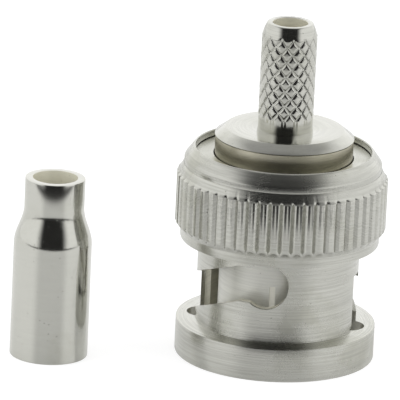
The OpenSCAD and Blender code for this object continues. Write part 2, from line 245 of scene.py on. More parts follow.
class NodeBench:
    """Short calls for laying out shader nodes in one node tree."""

    def __init__(self, tree: bpy.types.NodeTree) -> None:
        """Start on a node tree.

        Args:
            tree: The tree that the nodes go into.
        """
        self.tree = tree

    def add(self, kind: str, links: dict[str | int, object] | None = None, **settings: object) -> bpy.types.Node:
        """Add a node, set its properties and fill its inputs.

        Args:
            kind: The node's type, without its ShaderNode prefix.
            links: Inputs by name or number: a socket to link, or a plain value.
            **settings: Properties of the node.

        Returns:
            The new node.
        """
        node = self.tree.nodes.new("ShaderNode" + kind)
        for key, value in settings.items():
            setattr(node, key, value)
        for key, value in (links or {}).items():
            socket = node.inputs[key]
            if isinstance(value, bpy.types.NodeSocket):
                self.join(value, socket)
            else:
                socket.default_value = value
        return node

    def join(self, value: bpy.types.NodeSocket, socket: bpy.types.NodeSocket) -> None:
        """Link an output to an input.

        Args:
            value: The output.
            socket: The input.
        """
        self.tree.links.new(value, socket)

    def math(self, operation: str, *values: object, clamp: bool = False) -> bpy.types.NodeSocket:
        """Add a math node.

        Args:
            operation: The operation's name.
            *values: Sockets or numbers for its inputs.
            clamp: Whether the result is kept between 0 and 1.

        Returns:
            The node's output.
        """
        node = self.add("Math", dict(enumerate(values)), operation=operation, use_clamp=clamp)
        return node.outputs[0]

    plus = partialmethod(math, "ADD")
    minus = partialmethod(math, "SUBTRACT")
    times = partialmethod(math, "MULTIPLY")

    def ramp(self, value: bpy.types.NodeSocket, low: float, high: float, start: float = 0.0,
             end: float = 1.0) -> bpy.types.NodeSocket:
        """Map a range smoothly to another and stop at its ends.

        Args:
            value: The input.
            low: Value that gives the start.
            high: Value that gives the end.
            start: Result at low.
            end: Result at high.

        Returns:
            The mapped value.
        """
        links = {"Value": value, "From Min": low, "From Max": high, "To Min": start, "To Max": end}
        return self.add("MapRange", links, interpolation_type="SMOOTHSTEP").outputs["Result"]

    def mix(self, share: object, first: object, second: object, blend: str = "MIX") -> bpy.types.NodeSocket:
        """Mix two colours.

        Args:
            share: How much of the second is taken.
            first: The first colour.
            second: The second colour.
            blend: Blend type.

        Returns:
            The mixed colour.
        """
        node = self.add("Mix", data_type="RGBA", blend_type=blend)
        for socket, value in zip((node.inputs[0], node.inputs[6], node.inputs[7]), (share, first, second)):
            if isinstance(value, bpy.types.NodeSocket):
                self.join(value, socket)
            elif isinstance(value, tuple):
                socket.default_value = (*value, 1)
            else:
                socket.default_value = value
        return node.outputs[2]


def new_group(name: str, inputs: Iterable[tuple[str, str, object]],
              outputs: Iterable[tuple[str, str]]) -> tuple[bpy.types.NodeTree, NodeBench, dict, dict]:
    """Start a shader node group.

    Args:
        name: The group's name.
        inputs: Name, socket kind and default of each input.
        outputs: Name and socket kind of each output.

    Returns:
        The group, a bench for its nodes, its input sockets and its output sockets by name.
    """
    tree = bpy.data.node_groups.new(name, "ShaderNodeTree")
    for label, kind, default in inputs:
        socket = tree.interface.new_socket(label, in_out="INPUT", socket_type=kind)
        if default is not None:
            socket.default_value = default
    for label, kind in outputs:
        tree.interface.new_socket(label, in_out="OUTPUT", socket_type=kind)
    source = tree.nodes.new("NodeGroupInput")
    target = tree.nodes.new("NodeGroupOutput")
    return tree, NodeBench(tree), source.outputs, target.inputs


def build_turning_group() -> bpy.types.NodeTree:
    """Fine marks of the lathe tool, which run round the piece's axis.

    Returns:
        A group that takes a point in millimetres from the axis and gives a height and a tone.
    """
    tree, bench, source, target = new_group(
        "lathe_marks",
        [("Point", VECTOR, None), ("Fineness", FLOAT, 9.0), ("Run", FLOAT, 0.25)],
        [("Height", FLOAT), ("Tone", FLOAT)])
    split = bench.add("SeparateXYZ", {0: source["Point"]})
    x, y, z = split.outputs
    radius = bench.math("SQRT", bench.plus(bench.times(x, x), bench.times(y, y)))
    feed = bench.times(bench.plus(z, bench.times(radius, 0.83)), source["Fineness"])
    along_x = bench.times(x, source["Run"])
    along_y = bench.times(y, source["Run"])
    point = bench.add("CombineXYZ", {0: along_x, 1: along_y, 2: feed}).outputs[0]
    fine = bench.add("TexNoise", {"Vector": point, "Scale": 1.0, "Detail": 4.0, "Roughness": 0.7})
    coarse = bench.add("TexNoise", {"Vector": point, "Scale": 0.28, "Detail": 2.0, "Roughness": 0.5})
    height = bench.plus(bench.times(fine.outputs[0], 0.7), bench.times(coarse.outputs[0], 0.5))
    bench.join(height, target["Height"])
    bench.join(bench.ramp(fine.outputs[0], 0.32, 0.68), target["Tone"])
    return tree


def build_handling_group() -> bpy.types.NodeTree:
    """Tiny pits and hair scratches of a plated piece that has been handled.

    Returns:
        A group that takes a point in millimetres and gives masks for pits and scratches.
    """
    tree, bench, source, target = new_group(
        "handling_marks",
        [("Point", VECTOR, None), ("Pits", FLOAT, 0.12), ("Scratches", FLOAT, 0.5)],
        [("Pit", FLOAT), ("Scratch", FLOAT)])
    cells = bench.add("TexVoronoi", {"Vector": source["Point"], "Scale": 3.4, "Randomness": 1.0})
    chance = bench.add("SeparateColor", {0: cells.outputs["Color"]}).outputs[0]
    small = bench.ramp(cells.outputs["Distance"], 0.02, 0.17, 1.0, 0.0)
    rare = bench.math("LESS_THAN", chance, source["Pits"])
    bench.join(bench.times(small, rare), target["Pit"])
    warp = bench.add("TexNoise", {"Vector": source["Point"], "Scale": 0.35, "Detail": 1.0})
    bent = bench.add("VectorMath", {0: source["Point"], 1: warp.outputs["Color"]}, operation="ADD")
    lines = bench.add("Mapping", {"Vector": bent.outputs[0], "Rotation": (0.5, 0.9, 0.4), "Scale": (0.5, 9.0, 0.6)})
    hairs = bench.add("TexNoise", {"Vector": lines.outputs[0], "Scale": 1.0, "Detail": 2.0, "Roughness": 0.6})
    thin = bench.ramp(bench.math("ABSOLUTE", bench.minus(hairs.outputs[0], 0.5)), 0.0, 0.02, 1.0, 0.0)
    patch = bench.add("TexNoise", {"Vector": source["Point"], "Scale": 0.5, "Detail": 1.0})
    some = bench.times(bench.ramp(patch.outputs[0], 0.5, 0.66), source["Scratches"])
    bench.join(bench.times(thin, some), target["Scratch"])
    return tree


def build_tarnish_group() -> bpy.types.NodeTree:
    """Soft clouds of tarnish on plating.

    Returns:
        A group that takes a point in millimetres and gives a mask.
    """
    tree, bench, source, target = new_group(
        "tarnish", [("Point", VECTOR, None), ("Spread", FLOAT, 0.5)],
        [("Mask", FLOAT)])
    cloud = bench.add("TexNoise", {"Vector": source["Point"], "Scale": 0.22, "Detail": 5.0, "Roughness": 0.6})
    mask = bench.ramp(bench.plus(cloud.outputs[0], bench.minus(source["Spread"], 0.5)), 0.38, 0.7)
    bench.join(mask, target["Mask"])
    return tree


def start_finish(name: str, axis: tuple[float, float] = (0.0, 0.0)) -> tuple[
        bpy.types.Material, NodeBench, bpy.types.Node, bpy.types.NodeSocket]:
    """Start a material whose point is counted in millimetres from a piece's axis.

    Args:
        name: The material's name.
        axis: X and Y of the axis, in millimetres.

    Returns:
        The material, a bench for its nodes, its shader and the point.
    """
    material = bpy.data.materials.new(name)
    material.use_nodes = True
    bench = NodeBench(material.node_tree)
    links = {"Vector": bench.add("TexCoord").outputs["Object"], "Location": (-axis[0], -axis[1], 0),
             "Scale": (1 / MM,) * 3}
    return material, bench, material.node_tree.nodes["Principled BSDF"], bench.add("Mapping", links).outputs[0]


class Effects:
    """The shared effects, each built once."""

    def __init__(self) -> None:
        """Build every group."""
        self.turning = build_turning_group()
        self.handling = build_handling_group()
        self.tarnish = build_tarnish_group()


@dataclass(frozen=True)
class PlatedFinish:
    """Nickel or gold plate over a turned surface.

    Args:
        name: The material's name.
        bright: Colour of clean plate.
        dull: Colour of tarnished plate.
        roughness: Roughness of clean plate.
        grain: Depth of the lathe marks, in millimetres.
        fineness: Lathe marks per millimetre, roughly.
        run: How fast a lathe mark changes along its length.
        tone: How much the lathe marks darken the plate.
        spread: Share of the surface that is tarnished.
        pits: Share of the cells that hold a pit.
        scratches: Strength of the hair scratches.
        axis: X and Y of the turning axis, in millimetres.
        inner_r: Radius inside which the surface is a bore, in millimetres.
        inner: Colour of the plate in the bore: partly its own warm tint, partly painted light, a lighter copy that
            stays bright where metal would mirror the bore's shade.
        painted_lit_bore_metal: How metallic the bore looks; less metal is painted light that lifts the bore out of its
            shade.
        inner_roughness: Least roughness in the bore.
        pit_shade: How much a pit darkens the plate.
        pit_depth: Depth of a pit, in millimetres.
        scratch_depth: Depth of a scratch, in millimetres.
    """

    name: str
    bright: Colour
    dull: Colour
    roughness: float
    grain: float = 0.004
    fineness: float = 9.0
    run: float = 0.25
    tone: float = 0.12
    spread: float = 0.5
    pits: float = 0.1
    scratches: float = 0.4
    axis: tuple[float, float] = (0.0, 0.0)
    inner_r: float = 0.0
    inner: Colour = (0.74, 0.72, 0.6)
    painted_lit_bore_metal: float = 0.25
    inner_roughness: float = 0.4
    pit_shade: float = 0.45
    pit_depth: float = 0.01
    scratch_depth: float = 0.002

    def build(self, effects: Effects) -> bpy.types.Material:
        """Make the material.

        Args:
            effects: The shared effects.

        Returns:
            The material.
        """
        material, bench, shader, point = start_finish(self.name, self.axis)
        marks = bench.add("Group", node_tree=effects.turning)
        handling = bench.add("Group", node_tree=effects.handling)
        tarnish = bench.add("Group", node_tree=effects.tarnish)
        for node in (marks, handling, tarnish):
            bench.join(point, node.inputs["Point"])
        marks.inputs["Fineness"].default_value = self.fineness
        marks.inputs["Run"].default_value = self.run
        handling.inputs["Pits"].default_value = self.pits
        handling.inputs["Scratches"].default_value = self.scratches
        tarnish.inputs["Spread"].default_value = self.spread
        across = bench.add("VectorMath", {0: point, 1: (1, 1, 0)}, operation="MULTIPLY").outputs[0]
        radius = bench.add("VectorMath", {0: across}, operation="LENGTH").outputs["Value"]
        # In the bore the plate becomes a lighter, less metallic copy: partly its warm tint, partly painted light that
        # keeps the bore bright where metal would mirror shade.
        inside = bench.math("LESS_THAN", radius, self.inner_r)
        metal = bench.minus(1.0, bench.times(inside, 1 - self.painted_lit_bore_metal))
        bench.join(metal, shader.inputs["Metallic"])
        clouded = bench.mix(tarnish.outputs["Mask"], self.bright, self.dull)
        clouded = bench.mix(inside, clouded, self.inner)
        darker = bench.minus(1.0, bench.times(marks.outputs["Tone"], self.tone))
        pitted = bench.times(darker, bench.minus(1.0, bench.times(handling.outputs["Pit"], self.pit_shade)))
        colour = bench.add("VectorMath", {0: clouded, "Scale": pitted}, operation="SCALE").outputs[0]
        bench.join(colour, shader.inputs["Base Color"])
        rough = bench.plus(self.roughness, bench.times(tarnish.outputs["Mask"], 0.08))
        rough = bench.plus(rough, bench.times(handling.outputs["Scratch"], 0.12))
        rough = bench.math("MAXIMUM", rough, bench.times(inside, self.inner_roughness))
        bench.join(rough, shader.inputs["Roughness"])
        relief = bench.times(marks.outputs["Height"], self.grain)
        relief = bench.minus(relief, bench.times(handling.outputs["Pit"], self.pit_depth))
        scratched = bench.times(handling.outputs["Scratch"], self.scratch_depth)
        relief = bench.minus(relief, scratched)
        bump = bench.add("Bump", {"Height": relief, "Strength": 1.0, "Distance": MM})
        bench.join(bump.outputs[0], shader.inputs["Normal"])
        return material


@dataclass(frozen=True)
class SoftFinish:
    """Fluoroplastic or rubber: not metal, faintly mottled.

    Args:
        name: The material's name.
        light: Its lighter colour.
        deep: Its darker colour.
        roughness: Roughness.
        grain: Depth of its turning or moulding marks, in millimetres.
        painted_glow: Painted light: its colour is also emitted, so it stays light where it lies in shade.
    """

    name: str
    light: Colour
    deep: Colour
    roughness: float
    grain: float = 0.003
    painted_glow: float = 0.0

    def build(self, effects: Effects) -> bpy.types.Material:
        """Make the material.

        Args:
            effects: The shared effects.

        Returns:
            The material.
        """
        material, bench, shader, point = start_finish(self.name)
        marks = bench.add("Group", {"Point": point}, node_tree=effects.turning)
        clouds = bench.add("Group", {"Point": point}, node_tree=effects.tarnish)
        share = bench.times(bench.plus(clouds.outputs["Mask"], marks.outputs["Tone"]), 0.5)
        colour = bench.mix(share, self.light, self.deep)
        bench.join(colour, shader.inputs["Base Color"])
        # Painted glow: the base colour is also emitted at painted_glow strength, which keeps the piece light where it
        # lies in shade.
        bench.join(colour, shader.inputs["Emission Color"])
        shader.inputs["Emission Strength"].default_value = self.painted_glow
        rough = bench.plus(self.roughness, bench.times(marks.outputs["Tone"], 0.06))
        bench.join(rough, shader.inputs["Roughness"])
        relief = bench.times(marks.outputs["Height"], self.grain)
        bump = bench.add("Bump", {"Height": relief, "Strength": 1.0, "Distance": MM})
        bench.join(bump.outputs[0], shader.inputs["Normal"])
        return material


def dress(material: bpy.types.Material, *pieces: bpy.types.Object) -> None:
    """Give pieces a material, in every slot that they have.

    Args:
        material: The material.
        *pieces: The pieces.
    """
    for piece in pieces:
        if not piece.material_slots:
            piece.data.materials.append(material)
        for slot in piece.material_slots:
            slot.material = material


# ---------------------------------------------------------------------------------------------------------------
# Studio
# ---------------------------------------------------------------------------------------------------------------

@dataclass(frozen=True)
class StudioCamera:
    """The camera, level with the plug's middle and looking down on it.

    Args:
        lens: Focal length in millimetres on a 36 mm sensor.
        distance: Distance from the pivot, in metres.
        elevation: Height angle over the pivot, in degrees.
        roll: Roll about the line of sight, in degrees.
        pivot: The point that the camera stands off from, in metres.
        aim: The point at the middle of the frame, in metres.
    """

    lens: float = 592.6
    distance: float = 0.4528
    elevation: float = 17.33
    roll: float = 2.74
    pivot: tuple[float, float, float] = (0.0, 0.0, 0.00944)
    aim: tuple[float, float, float] = (-0.005587, 0.00033, 0.0105)

    def build(self) -> None:
        """Place the camera and make it the scene's own."""
        bpy.ops.object.camera_add()
        camera = bpy.context.object
        camera.name = "camera"
        camera.data.lens = self.lens
        camera.data.sensor_width = 36
        camera.data.clip_start = 0.01
        tilt = math.radians(self.elevation)
        stand = Vector(self.pivot) + Vector((0, -math.cos(tilt), math.sin(tilt))) * self.distance
        look = (Vector(self.aim) - stand).to_track_quat("-Z", "Y")
        camera.location = stand
        camera.rotation_mode = "QUATERNION"
        camera.rotation_quaternion = look @ Quaternion((0, 0, 1), math.radians(self.roll))
        bpy.context.scene.camera = camera


@dataclass(frozen=True)
class Studio:
    """A white table in a light tent that is open, and dark, towards the camera.

    Args:
        floor_size: Side of the square floor, in metres.
        floor_tone: Diffuse tone of the floor.
        floor_glow: Light that the floor adds for camera and transmission rays.
        floor_sheen: Light that the floor adds for glossy rays.
        floor_coat: How much of the tent the floor mirrors for glossy rays.
        floor_polish: Roughness of that mirror.
        table_edge: Where the floor in front starts and stops turning into painted shade, which metal alone shows, in
            metres.
        sky: Strength of the tent's light.
        side_tone: Tone of the tent's sides, as metal shows it.
        back_tone: Tone of the tent's back, as metal shows it.
        overhead_tone: Tone of the tent's roof, as metal shows it.
        opening_tone: Tone of the tent's opening, as metal shows it.
        opening_top: Angles over the front horizon between which the opening turns into the roof, in degrees.
        roof_end: Angles over the front horizon between which the roof turns into the back, in degrees.
        opening_side: Sideways share of a direction between which the opening turns into the sides.
        lamp_at: Where the right softbox hangs, in metres.
        lamp_power: Power of each softbox, in watts.
        lamp_size: Side of each softbox, in metres.
    """

    floor_size: float = 4.0
    floor_tone: float = 0.4
    floor_glow: float = 0.72
    floor_sheen: float = 0.24
    floor_coat: float = 0.24
    floor_polish: float = 0.1
    table_edge: tuple[float, float] = (0.055, 0.12)
    sky: float = 0.92
    side_tone: float = 1.02
    back_tone: float = 1.2
    overhead_tone: float = 0.42
    opening_tone: float = 0.02
    opening_top: tuple[float, float] = (56, 88)
    roof_end: tuple[float, float] = (96, 150)
    opening_side: tuple[float, float] = (0.48, 0.8)
    lamp_at: tuple[float, float, float] = (0.32, -0.12, 0.30)
    lamp_power: float = 0.35
    lamp_size: float = 0.25

    def build(self) -> None:
        """Build the floor, the tent and the lamps."""
        bpy.context.scene.view_settings.view_transform = "Standard"
        self.build_floor()
        self.build_tent()
        across, ahead, up = self.lamp_at
        for side in (-1, 1):
            self.build_lamp(Vector((across * side, ahead, up)))

    def build_floor(self) -> None:
        """Lay the floor: a diffuse sheet that glows faintly where it is seen, with a sheen that metal shows, and
        painted shade in front that metal alone shows.
        """
        deselect()
        bpy.ops.mesh.primitive_plane_add(size=self.floor_size)
        floor = bpy.context.object
        floor.name = "floor"
        material = bpy.data.materials.new("white_table")
        material.use_nodes = True
        tree = material.node_tree
        tree.nodes.remove(tree.nodes["Principled BSDF"])
        bench = NodeBench(tree)
        rays = bench.add("LightPath").outputs
        glossy = rays["Is Glossy Ray"]
        seen = bench.plus(rays["Is Camera Ray"], rays["Is Transmission Ray"], clamp=True)
        strength = bench.plus(bench.times(seen, self.floor_glow),
                              bench.times(glossy, self.floor_sheen))
        paper = bench.add("BsdfDiffuse", {"Color": (self.floor_tone,) * 3 + (1,)})
        painted_glow = bench.add("Emission", {"Color": (1, 1, 1, 1), "Strength": strength})
        tone = bench.times(glossy, self.floor_coat)
        coat = bench.add("BsdfAnisotropic", {"Color": bench.add("CombineColor", {0: tone, 1: tone, 2: tone}).outputs[0],
                                             "Roughness": self.floor_polish})
        total = bench.add("AddShader", {0: paper.outputs[0], 1: painted_glow.outputs[0]})
        total = bench.add("AddShader", {0: total.outputs[0], 1: coat.outputs[0]})
        # For glossy rays alone, the floor in front past table_edge turns into a dark emission: painted shade that metal
        # mirrors.
        spot = bench.add("SeparateXYZ", {0: bench.add("TexCoord").outputs["Object"]}).outputs
        painted_shade_beyond = bench.ramp(bench.times(spot[1], -1.0), *self.table_edge)
        shade = bench.add("Emission", {"Color": (1, 1, 1, 1), "Strength": self.opening_tone})
        total = bench.add("MixShader", {0: bench.times(painted_shade_beyond, glossy), 1: total.outputs[0],
                                        2: shade.outputs[0]})
        bench.join(total.outputs[0], tree.nodes["Material Output"].inputs["Surface"])
        floor.data.materials.append(material)

    def build_tent(self) -> None:
        """Light the scene from all round, with the tent's opening and roof darker in reflections alone."""
        world = bpy.data.worlds.new("tent")
        bpy.context.scene.world = world
        world.use_nodes = True
        tree = world.node_tree
        bench = NodeBench(tree)
        rays = bench.add("LightPath").outputs
        direction = bench.add("SeparateXYZ", {0: bench.add("TexCoord").outputs["Generated"]}).outputs
        turn = bench.math("ARCTAN2", direction[2], bench.times(direction[1], -1.0))
        front = bench.ramp(turn, *map(math.radians, self.opening_top), self.opening_tone, self.overhead_tone)
        behind = bench.ramp(turn, *map(math.radians, self.roof_end), 0.0, self.back_tone - self.overhead_tone)
        aside = bench.ramp(bench.math("ABSOLUTE", direction[0]), *self.opening_side)
        strip = bench.plus(front, behind)
        tone = bench.plus(bench.times(strip, bench.minus(1.0, aside)),
                          bench.times(aside, self.side_tone))
        glossy = rays["Is Glossy Ray"]
        strength = bench.plus(bench.times(tone, glossy),
                              bench.times(bench.minus(1.0, glossy), self.sky))
        strength = bench.math("MAXIMUM", strength, rays["Is Camera Ray"])
        background = tree.nodes["Background"]
        background.inputs["Color"].default_value = (1, 1, 1, 1)
        bench.join(strength, background.inputs["Strength"])

    def build_lamp(self, stand: Vector) -> None:
        """Hang one softbox that faces the plug.

        Args:
            stand: Where it hangs, in metres.
        """
        bpy.ops.object.light_add(type="AREA", location=stand)
        lamp = bpy.context.object
        lamp.name = "softbox_left" if stand.x < 0 else "softbox_right"
        lamp.data.energy = self.lamp_power
        lamp.data.size = self.lamp_size
        lamp.visible_glossy = False
        lamp.rotation_mode = "QUATERNION"
        lamp.rotation_quaternion = (-stand).to_track_quat("-Z", "Y")


# ---------------------------------------------------------------------------------------------------------------
# The plug
# ---------------------------------------------------------------------------------------------------------------

@dataclass
class CouplingNut:
    """The coupling nut: knurled head, slotted barrel and front flange, turned and milled from one bar."""

    knurl_r: float = 7.25
    knurl_depth: float = 0.2
    knurl_grooves: int = 56
    knurl_bearing: float = 270.4
    steps_per_groove: int = 8
    collar_r: float = 6.85
    band_r: float = 6.8
    flange_r: float = 6.88
    barrel_r: float = 5.56
    bore_r: float = 4.9
    head_bore_r: float = 6.2
    ledge_r: float = 6.35
    rim_r: float = 6.04
    lead_in: float = 0.35
    edge: float = 0.07
    flange_z: float = 2.35
    head_z: float = 8.2
    collar_z: float = 8.85
    knurl_z: float = 9.35
    knurl_end: float = 12.8
    bevel_len: float = 0.08
    bevel_depth: float = 0.14
    band_z: float = 13.45
    shoulder_z: float = 13.85
    nut_end: float = 14.65
    rim_t: float = 0.42
    closing_z: float = 13.8
    seat_z: float = 9.6
    lock_bearing: float = 261.3
    bayonet_turn: float = 89.4
    lock_hole_r: float = 1.625
    lock_hole_z: float = 6.33
    slot_w: float = 2.57
    slot_rise: float = 0.034
    slot_level: float = 19.3
    keyway_w: float = 2.3
    keyway_r: float = 6.2
    keyway_len: float = 6.25
    piece: bpy.types.Object | None = field(default=None, init=False)

    def on_front_chamfer(self, radius: float) -> float:
        """Height at which the chamfer in front of the knurl has a given radius."""
        share = (radius - self.collar_r) / (self.knurl_r - self.collar_r)
        return self.collar_z + share * (self.knurl_z - self.collar_z)

    def on_rear_chamfer(self, radius: float) -> float:
        """Height at which the chamfer behind the knurl has a given radius."""
        top = self.knurl_r - self.bevel_depth
        return self.knurl_end + (top - radius) / (top - self.band_r) * (self.band_z - self.knurl_end)

    def profile(self) -> Profile:
        """The nut's section, with the rows that the knurl's run-outs need.

        Returns:
            Points of radius and height, from the mouth of the bore round the outside and back inside.
        """
        root = self.knurl_r - self.knurl_depth
        half = self.knurl_r - self.knurl_depth / 2
        outside = [
            (self.bore_r + self.lead_in, 0.0),
            (self.flange_r, 0.0),
            (self.flange_r, self.flange_z),
            (self.barrel_r, self.flange_z),
            (self.barrel_r, self.head_z),
            (self.collar_r, self.head_z),
            (self.collar_r, self.collar_z),
            (root, self.on_front_chamfer(root)),
            (half, self.on_front_chamfer(half)),
            (self.knurl_r - 0.01, self.knurl_z - 0.02),
            (self.knurl_r, self.knurl_z + 0.02),
            (self.knurl_r, self.knurl_end - self.bevel_len - 0.02),
            (self.knurl_r - 0.015, self.knurl_end - self.bevel_len),
            (self.knurl_r - self.bevel_depth, self.knurl_end),
            (root, self.on_rear_chamfer(root)),
            (self.band_r, self.band_z)]
        points = soften(outside, {1: self.edge, 2: self.edge, 3: 0.05, 4: 0.04, 5: self.edge, 6: 0.05, 15: 0.06})
        points += [
            (self.band_r - 0.01, self.shoulder_z - 0.06),
            (self.band_r - 0.035, self.shoulder_z),
            (self.band_r - 0.075, self.shoulder_z + 0.06),
            (self.rim_r + 0.2, self.nut_end - 0.09),
            (self.rim_r + 0.165, self.nut_end - 0.05),
            (self.rim_r + 0.13, self.nut_end - 0.02)]
        return points + [
            (self.rim_r + self.edge, self.nut_end),
            (self.rim_r + self.edge / 3, self.nut_end - self.edge / 3),
            (self.rim_r, self.nut_end - self.edge),
            (self.rim_r, self.nut_end - self.rim_t),
            (self.ledge_r, self.nut_end - self.rim_t),
            (self.ledge_r, self.closing_z),
            (self.head_bore_r, self.closing_z),
            (self.head_bore_r, self.seat_z),
            (self.bore_r, self.seat_z),
            (self.bore_r, self.lead_in)]

    def column(self, point: Vector) -> int:
        """Which of a groove's columns a point lies on, counted from the groove's middle."""
        bearing = math.degrees(math.atan2(point.y, point.x)) - self.knurl_bearing
        step = round(bearing / 360 * self.knurl_grooves * self.steps_per_groove) % self.steps_per_groove
        return min(step, self.steps_per_groove - step)

    def cut_knurl(self) -> None:
        """Press the groove columns in, row by row, down to the V that the cutter leaves."""
        only(self.piece)
        bpy.ops.object.mode_set(mode="EDIT")
        half_width = math.pi * self.knurl_r / self.knurl_grooves / self.steps_per_groove * 2
        low, high = self.collar_z + 0.01, self.band_z - 0.01
        rows = sorted({(round(math.hypot(x, y), 4), round(z, 4)) for x, y, z in self.outer_points(low, high)})
        for radius, height in rows:
            for column in (0, 1, 2):
                target = self.knurl_r - max(self.knurl_depth - column * half_width, 0.012)
                if target >= radius:
                    continue
                select_vertices(lambda p, r=radius, h=height, c=column: abs(p.z - h) < 1e-3
                                and abs(math.hypot(p.x, p.y) - r) < 1e-3 and self.column(p) == c)
                scale_about_axis(target / radius)
        bpy.ops.object.mode_set(mode="OBJECT")

    def outer_points(self, low: float, high: float) -> list[tuple[float, float, float]]:
        """The vertices outside the head between two heights, before the knurl is cut."""
        points = [tuple(v.co) for v in self.piece.data.vertices]
        return [p for p in points if low < p[2] < high and math.hypot(p[0], p[1]) > self.band_r - 0.02]

    def slot_height(self, turn: float) -> float:
        """Height of a slot's centre line, some degrees after its keyway."""
        return self.lock_hole_z - self.slot_rise * max(0.0, self.bayonet_turn - self.slot_level - turn)

    def slot_cutter(self, bearing: float) -> bpy.types.Object:
        """The milling path of one slot: a section swept along its helix.

        Args:
            bearing: Bearing of the keyway, in degrees.

        Returns:
            The cutter.
        """
        deselect()
        inner, outer = self.bore_r - 0.3, self.barrel_r + 0.3
        bpy.ops.mesh.primitive_plane_add(size=1, rotation=(math.pi / 2, 0, 0), location=((inner + outer) / 2, 0, 0))
        bpy.context.object.scale = (outer - inner, self.slot_w, 1)
        cutter = open_for_editing()
        self.turn_selection(bearing)
        bpy.ops.transform.translate(value=(0, 0, self.slot_height(0)))
        steps = 48
        for k in range(steps):
            turn = self.bayonet_turn / steps
            rise = self.slot_height(turn * (k + 1)) - self.slot_height(turn * k)
            bpy.ops.mesh.extrude_region_move(TRANSFORM_OT_translate={"value": (0, 0, rise)})
            self.turn_selection(turn)
        bpy.ops.mesh.select_all(action="SELECT")
        bpy.ops.mesh.normals_make_consistent(inside=False)
        bpy.ops.object.mode_set(mode="OBJECT")
        return cutter

    @staticmethod
    def turn_selection(degrees: float) -> None:
        """Turn the selection about Z by its bearing."""
        bpy.ops.transform.rotate(value=-math.radians(degrees), orient_axis="Z", center_override=(0, 0, 0))

    def keyway_cutter(self, bearing: float) -> bpy.types.Object:
        """The broach of one keyway: a round-ended bar.

        Args:
            bearing: Bearing of the keyway, in degrees.

        Returns:
            The cutter.
        """
        deselect()
        radius = self.keyway_w / 2
        centre = self.keyway_r - radius
        bpy.ops.mesh.primitive_cylinder_add(vertices=48, radius=radius, depth=self.keyway_len + 0.3,
                                            location=(centre, 0, (self.keyway_len - 0.3) / 2))
        cutter = open_for_editing()
        select_vertices(lambda p: p.x < centre - 1e-4)
        bpy.ops.transform.translate(value=(-(centre - 4.05 - radius), 0, 0))
        bpy.ops.mesh.select_all(action="SELECT")
        self.turn_selection(bearing)
        bpy.ops.object.mode_set(mode="OBJECT")
        return cutter

    def hole_cutter(self, bearing: float) -> bpy.types.Object:
        """The drill of one lock hole.

        Args:
            bearing: Bearing of the hole, in degrees.

        Returns:
            The cutter.
        """
        deselect()
        near, far = 4.05, self.barrel_r + 0.3
        bpy.ops.mesh.primitive_cylinder_add(vertices=96, radius=self.lock_hole_r, depth=far - near,
                                            rotation=(0, math.pi / 2, 0), location=((near + far) / 2, 0, self.lock_hole_z))
        cutter = open_for_editing()
        bpy.ops.mesh.select_all(action="SELECT")
        self.turn_selection(bearing)
        bpy.ops.object.mode_set(mode="OBJECT")
        return cutter

    def build(self) -> None:
        """Turn, knurl and mill the nut."""
        sides = self.knurl_grooves * self.steps_per_groove
        self.piece = lathe("nut_shell", self.profile(), sides, self.knurl_bearing)
        self.cut_knurl()
        for side in (0, 180):
            keyway = self.lock_bearing - self.bayonet_turn + side
            cut(self.piece, self.keyway_cutter(keyway))
            cut(self.piece, self.slot_cutter(keyway))
            cut(self.piece, self.hole_cutter(self.lock_bearing + side))
        place(self.piece, Body.COUPLING, "nickel_plate", "coupling_nut")


